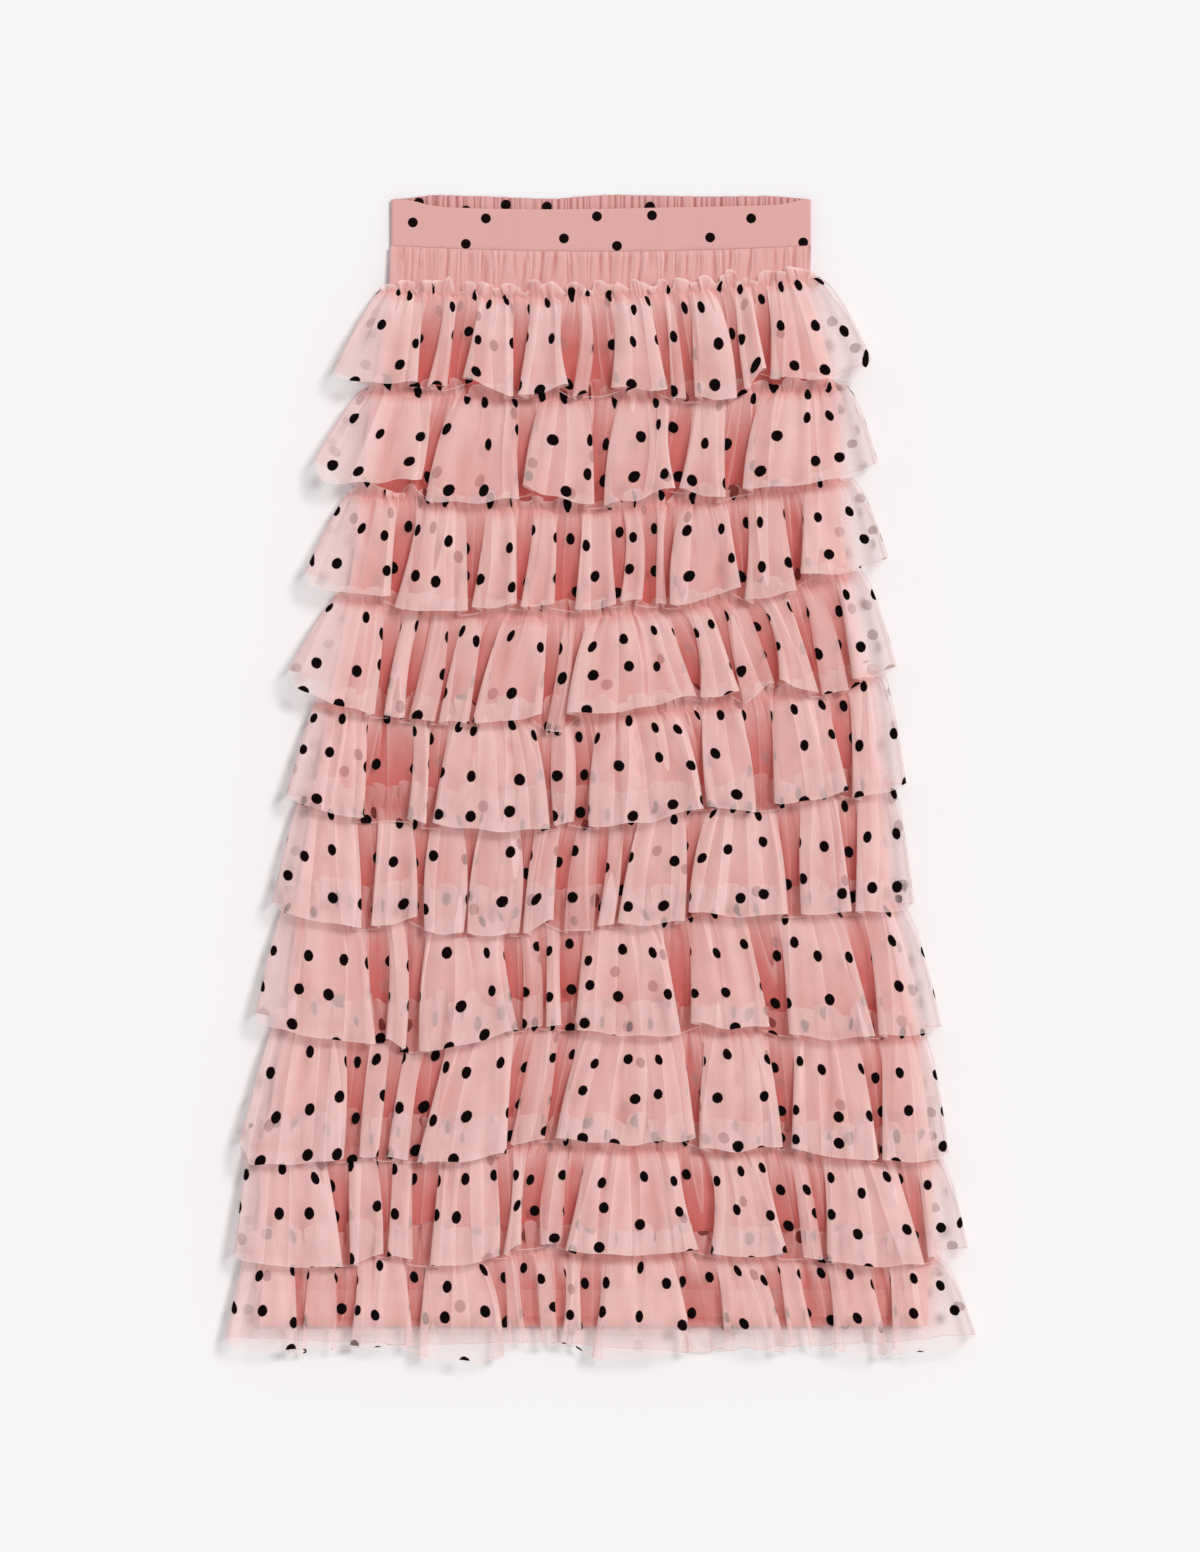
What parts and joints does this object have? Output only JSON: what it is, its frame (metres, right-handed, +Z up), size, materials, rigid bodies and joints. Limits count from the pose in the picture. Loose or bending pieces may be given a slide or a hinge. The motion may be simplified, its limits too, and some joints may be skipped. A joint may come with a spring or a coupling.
{
  "type": "tulle skirt",
  "caption": "Long A-line skirt laid flat, with a smooth waistband, a gathered yoke and stacked ruffles of sheer dotted tulle over a plain lining.",
  "frame": {"origin": "middle of the skirt's outline, on the surface it lies on", "axes": "+X to the right of someone facing the front of the skirt, +Y from hem to waist, +Z up off the surface"},
  "size_m": [0.629, 0.9781, 0.0415],
  "materials": {
    "waistband": "smooth lined crepe, matt, blush pink with flocked dots",
    "foundation": "plain fine mesh, matt, blush pink",
    "lining": "smooth opaque lining, soft sheen, coral pink",
    "tulle": "sheer soft tulle, matt, blush pink with flocked black dots"
  },
  "bodies": {
    "root": {"waistband_front": "waistband", "waistband_back": "waistband", "foundation_front": "foundation", "foundation_back": "foundation", "lining_front": "lining", "lining_back": "lining", "tier_01_front": "tulle", "tier_02_front": "tulle", "tier_03_front": "tulle", "tier_04_front": "tulle", "tier_05_front": "tulle", "tier_06_front": "tulle", "tier_07_front": "tulle", "tier_08_front": "tulle", "tier_09_front": "tulle", "tier_10_front": "tulle", "tier_01_back": "tulle", "tier_02_back": "tulle", "tier_03_back": "tulle", "tier_04_back": "tulle", "tier_05_back": "tulle", "tier_06_back": "tulle", "tier_07_back": "tulle", "tier_08_back": "tulle", "tier_09_back": "tulle", "tier_10_back": "tulle"}
  },
  "joints": []
}
